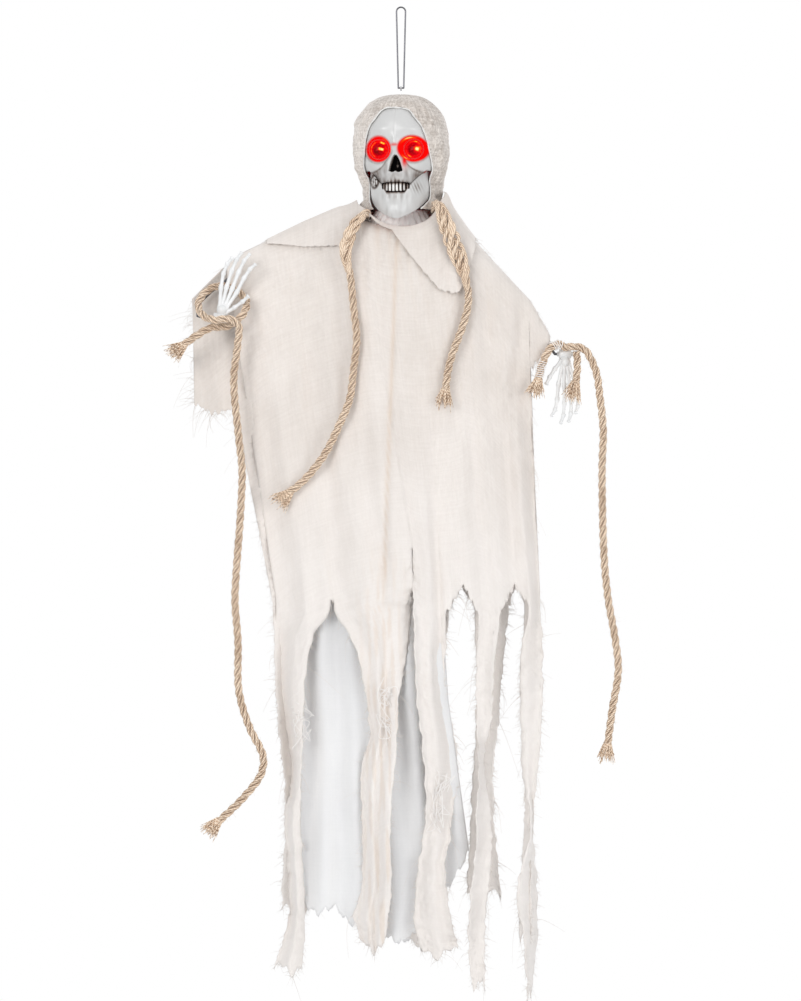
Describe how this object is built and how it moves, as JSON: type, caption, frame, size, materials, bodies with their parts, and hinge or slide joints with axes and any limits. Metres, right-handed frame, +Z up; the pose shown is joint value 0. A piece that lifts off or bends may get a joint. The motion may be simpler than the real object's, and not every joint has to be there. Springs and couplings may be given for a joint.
{
  "type": "animated hanging skeleton ghost",
  "caption": "Hanging skeleton ghost with a geared talking jaw, lit eyes, a battery drive box, bendable wire arms and jointed hands under a hood, cape and torn gauze robe with ropes",
  "frame": {"origin": "where the hook bears, at the inner top of the hanging loop", "axes": "+Z up along the hanging line, front of the skull towards -Y, +X to the right as seen from the front"},
  "size_m": [0.4424, 0.1074, 0.9896],
  "materials": {
    "dark_steel": "drawn spring steel, darkened",
    "plated_steel": "bright plated steel",
    "skull_plastic": "moulded plastic, light grey, glossy with a dark wash in the hollows",
    "teeth_plastic": "moulded plastic, off-white",
    "reflector": "metallised plastic",
    "red_lens": "clear red plastic, lit from behind",
    "lamp": "moulded lamp body",
    "frame_plastic": "moulded plastic, dark grey",
    "gear_plastic": "natural nylon",
    "jaw_plastic": "moulded plastic, white, smooth",
    "box_plastic": "moulded plastic, black",
    "speaker_frame": "pressed steel frame with a paper cone",
    "board": "glass-fibre board, green",
    "knob_plastic": "moulded plastic, red",
    "cell_case": "plain wrapped steel can",
    "arm_wire": "soft wire that bends by hand",
    "sleeve_plastic": "moulded plastic, white",
    "hand_plastic": "moulded plastic, milky white",
    "hood_gauze": "open-weave gauze, greyish cream",
    "robe_gauze": "open-weave gauze, warm off-white, torn and frayed edges",
    "lining_cloth": "thin smooth cloth, cool white",
    "rope": "three-strand jute, tan, frayed ends"
  },
  "bodies": {
    "hanger": {"hanging_loop": "dark_steel"},
    "ghost": {"eye_bolt": "plated_steel", "crown_nut": "plated_steel", "crown_plug": "skull_plastic", "skull_face": "skull_plastic", "skull_back": "skull_plastic", "upper_teeth": "teeth_plastic", "eye_cup_left": "reflector", "eye_cup_right": "reflector", "eye_lens_left": "red_lens", "eye_lens_right": "red_lens", "eye_leds": "lamp", "gear_frame": "frame_plastic", "jaw_motor": "plated_steel", "gear_pin": "plated_steel", "neck_tube": "box_plastic", "box_front": "box_plastic", "box_back": "box_plastic", "box_screws": "plated_steel", "speaker": "speaker_frame", "circuit_board": "board", "switch_body": "box_plastic", "cells": "cell_case", "cell_contacts": "plated_steel", "arm_wires": "arm_wire", "wrist_sleeves": "sleeve_plastic", "hood": "hood_gauze", "collar": "hood_gauze", "cape": "hood_gauze", "robe_front": "robe_gauze", "robe_back": "robe_gauze", "lining": "lining_cloth", "neck_rope": "rope", "wrist_rope_left": "rope", "wrist_rope_right": "rope", "wrist_rope_end": "rope"},
    "jaw": {"jaw_axle": "plated_steel", "sector_gear": "gear_plastic", "jaw_arms": "frame_plastic", "jaw": "jaw_plastic"},
    "reduction": {"reduction_gear": "gear_plastic"},
    "rotor": {"motor_shaft": "plated_steel", "motor_pinion": "gear_plastic"},
    "switch": {"switch_knob": "knob_plastic"},
    "door": {"battery_door": "box_plastic"},
    "left_hand": {"hand_left": "hand_plastic"},
    "right_hand": {"hand_right": "hand_plastic"}
  },
  "joints": [
    {"name": "hanger_pivot", "type": "hinge", "parent": "hanger", "child": "ghost", "pos_m": [0, 0, -0.08], "axis": [1, 0, 0], "range_deg": [-60, 60]},
    {"name": "jaw_swing", "type": "hinge", "parent": "ghost", "child": "jaw", "pos_m": [-0.00028, -0.00198, -0.16], "axis": [0.9903, -0.1392, 0], "range_deg": [0, 12]},
    {"name": "reduction_spin", "type": "hinge", "parent": "ghost", "child": "reduction", "pos_m": [0.00169, 0.01199, -0.14058], "axis": [0.9903, -0.1392, 0], "range_deg": [-60, 0]},
    {"name": "motor_spin", "type": "hinge", "parent": "ghost", "child": "rotor", "pos_m": [0.00063, 0.00446, -0.12427], "axis": [0.9903, -0.1392, 0], "range_deg": [0, 240]},
    {"name": "switch_slide", "type": "slide", "parent": "ghost", "child": "switch", "axis": [1, 0, 0], "range_m": [0, 0.004]},
    {"name": "door_slide", "type": "slide", "parent": "ghost", "child": "door", "axis": [0, 0, -1], "range_m": [0, 0.064]},
    {"name": "hand_left_tilt", "type": "hinge", "parent": "ghost", "child": "left_hand", "pos_m": [-0.18, -0.026, -0.311], "axis": [1, 0, 0], "range_deg": [0, 45]},
    {"name": "hand_right_tilt", "type": "hinge", "parent": "ghost", "child": "right_hand", "pos_m": [0.164, 0, -0.346], "axis": [1, 0, 0], "range_deg": [0, 45]}
  ],
  "couplings": [
    {"joint": "reduction_spin", "follows": "jaw_swing", "ratio": -5},
    {"joint": "motor_spin", "follows": "jaw_swing", "ratio": 20}
  ]
}
